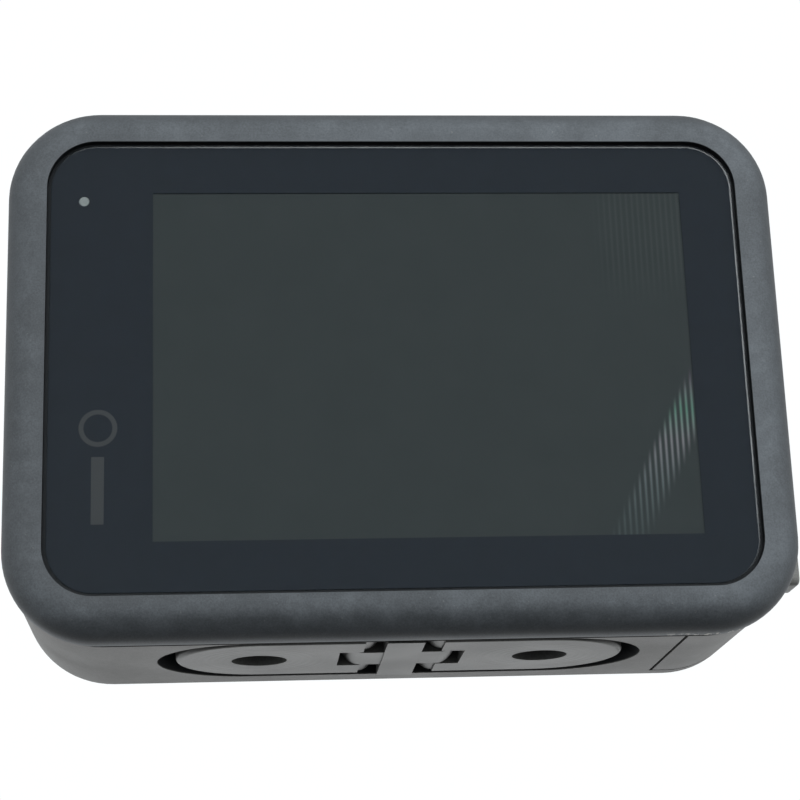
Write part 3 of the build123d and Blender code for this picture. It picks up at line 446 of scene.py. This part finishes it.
# Painted reflection: a band of pale stripes stands in for raking light caught by the screen's
# columns.
band = screen.step(arc, 0.4, -0.6) * screen.step(arc, -3.7, -2.3) * screen.step(screen.z, 25.0, 20.5)
faint = screen.step(screen.x, -17.5, -20.0) * screen.step(screen.z, 29.0, 35.0) * 0.1
painted_sheen = (band * (screen.step(screen.z, 7.0, 19.0) * 0.75 + 0.25)).math("MAXIMUM", faint)
up_the_arc = (screen.z - 9.0) * (1.0 / 16.0)
hue = screen.add("ShaderNodeValToRGB", {}, {"Fac": up_the_arc}, "Color")
ramp = hue.socket.node.color_ramp
ramp.elements[0].color = rgb(0.09, 0.12, 0.12)
ramp.elements[1].color = rgb(0.12, 0.13, 0.12)
tints = {0.25: (0.13, 0.15, 0.15), 0.50: (0.19, 0.18, 0.188), 0.68: (0.10, 0.20, 0.15)}
tints.update({0.80: (0.14, 0.15, 0.15), 0.92: (0.15, 0.09, 0.15)})
for place, tint in tints.items():
    ramp.elements.new(place).color = rgb(*tint)
screen_tone = blended(screen, screen.noise(0.3), (0.032, 0.038, 0.0375), (0.038, 0.044, 0.0435))
striped = screen.mix(painted_sheen * stripe * stripe, screen_tone, hue)
screen.set(Base_Color=striped, Roughness=grid * 0.01 + 0.12, Specular_IOR_Level=PRINT_GLOSS)
print("ramp stops", len(ramp.elements))

# %% [markdown]
# ## Lights, metals, rubber and boards
# The smaller finishes follow the same pattern. Brushed metal is noise stretched one way, a circuit
# board is a grid of pale tracks under green lacquer, and rubber is soft with very little shine.

# %% Small finishes
def brushed(name, colour, roughness):
    metal = Finish(name)
    stretch = {"Vector": metal.mm, "Scale": (0.6, 9.0, 0.6)}
    stretched = metal.add("ShaderNodeMapping", {}, stretch, "Vector")
    hair_inputs = {"Vector": stretched, "Scale": 1.6, "Detail": 5.0}
    hairs = metal.add("ShaderNodeTexNoise", {}, hair_inputs, "Fac")
    tone = blended(metal, hairs, [c * 0.8 for c in colour], colour)
    metal.set(Base_Color=tone, Roughness=hairs * 0.2 + roughness, Metallic=1.0)
    metal.bump(hairs, 0.2, 0.02)
    return metal


def lacquered_board(name):
    board = Finish(name)
    upright = (board.x * 4.2).math("SINE") > 0.86
    level = (board.z * 4.2).math("SINE") > 0.90
    tracks = upright.math("MAXIMUM", level)
    pads = board.step(board.cells(0.55), 0.16, 0.12)
    green = blended(board, tracks * 0.5, (0.012, 0.075, 0.04), (0.05, 0.20, 0.10))
    padded = board.mix(pads, green, rgb(0.55, 0.42, 0.16))
    board.set(Base_Color=padded, Roughness=board.noise(2.0) * 0.1 + 0.32)
    board.bump(tracks * 0.6 + pads * 0.4, 0.3, 0.05)
    return board


def soft_rubber(name, colour):
    rubber = Finish(name)
    fine = rubber.noise(9.0, 3.0)
    tone = blended(rubber, fine, [c * 0.7 for c in colour], [c * 1.3 for c in colour])
    rubber.set(Base_Color=tone, Roughness=fine * 0.15 + 0.7)
    rubber.bump(fine, 0.3, 0.04)
    return rubber


steel = brushed("brushed_steel", (0.62, 0.62, 0.64), 0.25)
aluminium = brushed("satin_aluminium", (0.74, 0.74, 0.75), 0.35)
board_skin = lacquered_board("green_board")
seal = soft_rubber("seal_rubber", (0.02, 0.02, 0.021))
barrel_skin = grained("barrel_black", (0.012, 0.012, 0.013), 0.42, grain=9.0, depth=0.15, dust=0.004)
cover_skin = grained("cover_satin", (0.024, 0.026, 0.028), 0.36, grain=8.0, depth=0.15, dust=0.006)
cell_skin = grained("battery_shell", (0.035, 0.036, 0.04), 0.38, grain=4.0, depth=0.2)
tab_skin = grained("pull_tab", (0.30, 0.31, 0.32), 0.6, grain=8.0, depth=0.1)
print("finishes so far:", len(bpy.data.materials))


# %% [markdown]
# The last few finishes each mix two near colours by noise, and let the same kind of noise move the
# roughness a little, so that no surface is perfectly even. One helper covers all of them.

# %% Small mottled finishes
def mottled(name, grain, first, second, gloss_grain, gloss_range, gloss_base):
    skin = Finish(name)
    tone = blended(skin, skin.noise(grain), first, second)
    skin.set(Base_Color=tone, Roughness=skin.noise(gloss_grain) * gloss_range + gloss_base)
    return skin


red = mottled("red_ring", 4.0, (0.42, 0.012, 0.010), (0.60, 0.024, 0.018), 2.0, 0.1, 0.3)
light_pipe = mottled("light_pipe", 2.0, (0.20, 0.22, 0.21), (0.28, 0.29, 0.28), 3.0, 0.1, 0.35)
sensor_skin = mottled("sensor_face", 0.8, (0.05, 0.03, 0.09), (0.03, 0.07, 0.09), 2.0, 0.05, 0.12)

# %% [markdown]
# The front window is black with a slightly paler screen behind it, and the speaker mesh is a grid of
# dark holes in grey metal.

# %% Front window and speaker mesh
WINDOW_X, WINDOW_Z = -17.0, 33.6
front_gloss = Finish("front_window_gloss")
shown_x = (front_gloss.x - WINDOW_X).math("ABSOLUTE") < 11.6
shown = shown_x * ((front_gloss.z - WINDOW_Z).math("ABSOLUTE") < 9.4)
window_tone = blended(front_gloss, shown, (0.004, 0.004, 0.005), (0.012, 0.014, 0.015))
front_gloss.set(Base_Color=window_tone, Roughness=front_gloss.noise(0.2) * 0.04 + 0.07)

mesh_skin = Finish("speaker_mesh")
holes = mesh_skin.step(mesh_skin.cells(2.4, 0.0), 0.32, 0.28)
mesh_tone = blended(mesh_skin, holes, (0.25, 0.25, 0.26), (0.01, 0.01, 0.01))
mesh_skin.set(Base_Color=mesh_tone, Roughness=holes * 0.3 + 0.4)
print("finishes:", len(bpy.data.materials))

# %% [markdown]
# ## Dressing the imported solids
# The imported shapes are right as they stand, so they keep their meshes and only change material.
# One table says which finish each takes.

# %% Assign the finishes
dress = {
    "rear_bezel": bezel_skin, "main_housing": body_skin, "battery_door": door_skin,
    "shutter_button": button_skin, "mode_button": button_skin, "door_latch": latch_skin,
    "finger_right": finger_right_skin, "finger_left": finger_left_skin, "hinge_bracket": bracket_skin,
    "front_plate": plate_skin, "rear_glass": rear_pane, "lens_cover_glass": lens_pane,
    "front_element": coated_glass, "rear_elements": coated_glass, "screen_mask": ink,
    "lcd_panel": screen, "front_lcd": screen, "rear_status_light": light_pipe,
    "front_status_light": light_pipe, "front_window": front_gloss, "lens_cover_frame": cover_skin,
    "lens_mount_ring": barrel_skin, "lens_barrel": barrel_skin, "lens_cover_seal": seal,
    "door_gasket": seal, "shutter_ring": red, "battery": cell_skin, "battery_tab": tab_skin,
    "memory_card": cell_skin, "card_socket": steel, "charge_port": steel, "door_pin": steel,
    "hinge_pins": steel, "bracket_screws": steel, "frame_screws": steel, "processor_shield": steel,
    "rear_frame": aluminium, "heat_block": aluminium, "main_board": board_skin,
    "sensor_board": board_skin, "shutter_switch": board_skin, "mode_switch": board_skin,
    "battery_contacts": barrel_skin, "speaker": barrel_skin, "speaker_mesh": mesh_skin,
    "microphone": steel, "image_sensor": sensor_skin,
}
cad_objects = {o["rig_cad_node"]: o for o in bpy.context.scene.objects if "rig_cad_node" in o}
for node_name, finish in dress.items():
    cad_objects[node_name].data.materials.clear()
    cad_objects[node_name].data.materials.append(finish.material)
print("dressed", len(dress), "of", len(cad_objects), "solids")

# %% [markdown]
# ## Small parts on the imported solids
# Some real pieces are too small to be worth a solid: grip ridges on the latch, trim rings in front
# of the lens, chips, pins and contact pads. Each starts from a bmesh primitive. A bar is a scaled
# cube with a bevel, and a ring is one small profile spun round an axis, because both keep clean
# faces and rounded edges that catch light.

# %% Helpers for bars and rings
def keep(name, shape, body, finish):
    bmesh.ops.recalc_face_normals(shape, faces=shape.faces)
    mesh = bpy.data.meshes.new(name)
    shape.to_mesh(mesh)
    shape.free()
    piece = bpy.data.objects.new(name, mesh)
    bpy.context.scene.collection.objects.link(piece)
    mesh.materials.append(finish.material)
    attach(piece, body)
    print(name, "faces", len(mesh.polygons))
    return piece


def bevel(shape, geom, round_mm, kind, segments):
    options = {"affect": kind, "segments": segments, "profile": 0.5, "material": -1}
    bmesh.ops.bevel(shape, geom=geom, offset=round_mm * MM, **options)


def add_bar(shape, centre_mm, size_mm, round_mm):
    made = bmesh.ops.create_cube(shape, size=1.0)["verts"]
    bmesh.ops.scale(shape, verts=made, vec=Vector(size_mm) * MM)
    bmesh.ops.translate(shape, verts=made, vec=Vector(centre_mm) * MM)
    rims = list({e for v in made for e in v.link_edges})
    bevel(shape, rims, round_mm, "EDGES", 2)


def add_ring(shape, centre_mm, axis, radius_mm, width_mm, height_mm, round_mm, steps=72):
    across = Vector((1, 0, 0))
    made = bmesh.ops.create_grid(shape, x_segments=1, y_segments=1, size=0.5)["verts"]
    bmesh.ops.scale(shape, verts=made, vec=Vector((width_mm, height_mm, 1.0)) * MM)
    if abs(axis.z) > 0.5:
        upright = Matrix.Rotation(math.pi / 2, 3, "X")
        bmesh.ops.rotate(shape, verts=made, cent=(0, 0, 0), matrix=upright)
    bmesh.ops.translate(shape, verts=made, vec=(Vector(centre_mm) + across * radius_mm) * MM)
    bevel(shape, made, round_mm, "VERTICES", 3)
    face = [f for f in shape.faces if len(f.edges) > 4]
    turn = {"cent": Vector(centre_mm) * MM, "axis": axis, "angle": 2 * math.pi}
    bmesh.ops.spin(shape, geom=face, steps=steps, use_merge=True, **turn)
    bmesh.ops.delete(shape, geom=[f for f in face if f.is_valid], context="FACES_ONLY")
    bmesh.ops.remove_doubles(shape, verts=shape.verts, dist=1e-6)


# %% [markdown]
# The latch has three grip ridges across its outer face, so that a nail can push it. They ride on the
# latch, which itself rides on the door.

# %% Grip ridges on the latch
latch_low, latch_high = box_mm("door_latch")
latch_y = (latch_low.y + latch_high.y) / 2
ridges = bmesh.new()
for row in range(3):
    at = (latch_low.x + 0.08, latch_y, latch_low.z + 0.85 + 0.75 * row)
    add_bar(ridges, at, (0.3, 3.0, 0.32), 0.08)
keep("latch_ridges", ridges, "latch", latch_skin)

# %% [markdown]
# Two thin rings step in toward the front element and stop stray light. A spun profile gives them an
# even, round edge at any zoom.

# %% Trim rings in front of the lens
trim_skin = brushed("dark_trim", (0.06, 0.06, 0.065), 0.28)
nose_low, nose_high = box_mm("lens_barrel")
lens_mid = (nose_low + nose_high) / 2
trim = bmesh.new()
for radius in (8.95, 9.55):
    centre = (lens_mid.x, nose_low.y - 0.05, lens_mid.z)
    add_ring(trim, centre, Vector((0, 1, 0)), radius, 0.4, 0.3, 0.1)
keep("lens_trim", trim, "camera", trim_skin)

# %% [markdown]
# The main board carries a rank of black chips in two widths. They show only when the shell is taken
# off, so plain bevelled bars are enough.

# %% Chips on the main board
chip_skin = grained("chip_black", (0.015, 0.015, 0.016), 0.35, grain=6.0, depth=0.1)
board_low, board_high = box_mm("main_board")
chips = bmesh.new()
for column in range(3):
    for row in range(5):
        wide = 3.4 if (row + column) % 2 else 2.2
        at = (board_low.x + 2.6 + 4.6 * column, board_low.y - 0.4, board_low.z + 3.5 + 6.0 * row)
        add_bar(chips, at, (wide, 0.8, 3.0), 0.08)
keep("board_chips", chips, "camera", chip_skin)

# %% [markdown]
# With the door open, the battery's contacts and the port's two rows of pins can be seen. Both are
# gold plated, and both are repeated at an even pitch.

# %% Gold pads for the battery and pins for the port
gold = brushed("contact_gold", (0.83, 0.62, 0.28), 0.2)
pads_low, pads_high = box_mm("battery_contacts")
pads_y = (pads_low.y + pads_high.y) / 2
pads = bmesh.new()
for row in range(4):
    add_bar(pads, (pads_low.x + 0.02, pads_y, pads_low.z + 2.2 + 2.5 * row), (0.1, 4.0, 1.3), 0.03)
keep("battery_pads", pads, "camera", gold)
port_low, port_high = box_mm("charge_port")
port_y = (port_low.y + port_high.y) / 2
pins = bmesh.new()
for row in range(8):
    for side in (-0.36, 0.36):
        at = (port_low.x + 3.2, port_y + side, port_low.z + 2.0 + 0.72 * row)
        add_bar(pins, at, (3.6, 0.06, 0.34), 0.02)
keep("port_pins", pins, "camera", gold)

# %% [markdown]
# ## Soft light and the viewpoint
# The room is a plain bright one, brighter straight ahead and straight behind than at the sides. Low
# down behind the object it is nearly black, and that draws the dark line along the lower roll of the
# rear frame. Seen directly, the room is an even white, so the background stays clean.

# %% Room light
world = bpy.data.worlds.new("soft_room")
bpy.context.scene.world = world
world.use_nodes = True
bpy.context.scene.view_settings.view_transform = "Standard"
wt = world.node_tree


def room_node(kind, settings, inputs):
    node = wt.nodes.new(kind)
    for key, value in settings.items():
        setattr(node, key, value)
    for key, value in inputs.items():
        if isinstance(value, bpy.types.NodeSocket):
            wt.links.new(value, node.inputs[key])
        else:
            node.inputs[key].default_value = value
    return node.outputs[0]


def room_ramp(value, span, result):
    inputs = {"Value": value, "From Min": span[0], "From Max": span[1]}
    inputs.update({"To Min": result[0], "To Max": result[1]})
    return room_node("ShaderNodeMapRange", {"interpolation_type": "SMOOTHSTEP"}, inputs)


facing = wt.nodes.new("ShaderNodeTexCoord").outputs["Generated"]
split = wt.nodes.new("ShaderNodeSeparateXYZ")
wt.links.new(facing, split.inputs[0])
depth = room_node("ShaderNodeMath", {"operation": "ABSOLUTE"}, {0: split.outputs["Y"]})
ends = room_ramp(depth, (0.25, 0.95), (0.5, 1.05))
below = wt.nodes.new("ShaderNodeVectorMath")
below.operation = "DOT_PRODUCT"
below.inputs[1].default_value = (0.0, 0.45, -0.89)
wt.links.new(facing, below.inputs[0])
dark = room_ramp(below.outputs["Value"], (0.25, 0.8), (1.0, 0.02))
shaped = room_node("ShaderNodeMath", {"operation": "MULTIPLY"}, {0: ends, 1: dark})
looking = wt.nodes.new("ShaderNodeLightPath").outputs["Is Camera Ray"]
strength = room_node("ShaderNodeMix", {"data_type": "FLOAT"}, {0: looking, 2: shaped, 3: 1.03})
wt.nodes["Background"].inputs["Color"].default_value = (0.97, 0.99, 1.0, 1.0)
wt.links.new(strength, wt.nodes["Background"].inputs["Strength"])
print("room light nodes", len(wt.nodes))


# %% [markdown]
# Two large round lamps fill the room's light from above, one behind and one in front. They are hidden
# from reflections, so that no white disc shows in the glass.

# %% Soft lamps
def soft_lamp(name, spot, aim, size, watts):
    data = bpy.data.lights.new(name, "AREA")
    data.shape = "DISK"
    data.size = size
    data.energy = watts
    lamp = bpy.data.objects.new(name, data)
    bpy.context.scene.collection.objects.link(lamp)
    lamp.location = spot
    lamp.visible_glossy = False
    lamp.rotation_euler = (Vector(aim) - Vector(spot)).to_track_quat("-Z", "Y").to_euler()
    return lamp


middle = (cad_low + cad_high) / 2
rear_lamp = soft_lamp("rear_lamp", (-0.1, 0.7, 0.2), middle, 0.5, 3.2)
front_lamp = soft_lamp("front_lamp", (0.3, -0.6, 0.5), middle, 0.5, 2.0)
print("lamps", rear_lamp.name, front_lamp.name)

# %% [markdown]
# The floor is one large pale sheet. It is one-sided: seen from below it is clear, because the
# viewpoint is a little under the object. It takes no part in lighting the object, so that the
# underside stays readable.

# %% Floor
floor_mesh = bpy.data.meshes.new("floor")
sheet = bmesh.new()
bmesh.ops.create_grid(sheet, x_segments=1, y_segments=1, size=3.0)
sheet.to_mesh(floor_mesh)
sheet.free()
floor = bpy.data.objects.new("floor", floor_mesh)
bpy.context.scene.collection.objects.link(floor)
floor.location = (0, 0, -0.0002)
paper = Finish("pale_paper")
paper.set(Base_Color=blended(paper, paper.noise(0.02), [0.80] * 3, [0.84] * 3), Roughness=0.8)
side = paper.tree.nodes.new("ShaderNodeNewGeometry")
unseen = paper.tree.nodes.new("ShaderNodeBsdfTransparent")
one_sided = paper.tree.nodes.new("ShaderNodeMixShader")
paper.tree.links.new(side.outputs["Backfacing"], one_sided.inputs[0])
paper.tree.links.new(paper.shader.outputs[0], one_sided.inputs[1])
paper.tree.links.new(unseen.outputs[0], one_sided.inputs[2])
paper.feed(paper.out.inputs["Surface"], Wire(paper, one_sided.outputs[0]))
floor_mesh.materials.append(paper.material)
for kind in ("diffuse", "glossy", "transmission", "shadow"):
    setattr(floor, "visible_" + kind, False)
print("floor", tuple(round(v, 1) for v in floor.dimensions[:2]), "m")

# %% [markdown]
# The camera stands behind the object and a little below it, so the screen and the underside both
# show. Its three axes are written out as unit vectors, which is clearer than three angles.

# %% Camera
eye_data = bpy.data.cameras.new("eye")
eye_data.lens = 94.945
eye_data.sensor_width = 36.0
eye_data.clip_start = 0.005
eye_data.clip_end = 20.0
eye = bpy.data.objects.new("eye", eye_data)
bpy.context.scene.collection.objects.link(eye)
right = Vector((-0.99664, 0.07485, -0.03332))
up = Vector((-0.00978, 0.29508, 0.95542))
back = Vector((0.08134, 0.95254, -0.29335))
turn = Matrix((right, up, back)).transposed()
eye.matrix_world = Matrix.Translation(Vector((15.34, 189.02, -33.65)) * MM) @ turn.to_4x4()
bpy.context.scene.camera = eye
print("camera at", tuple(round(v, 4) for v in eye.matrix_world.translation))
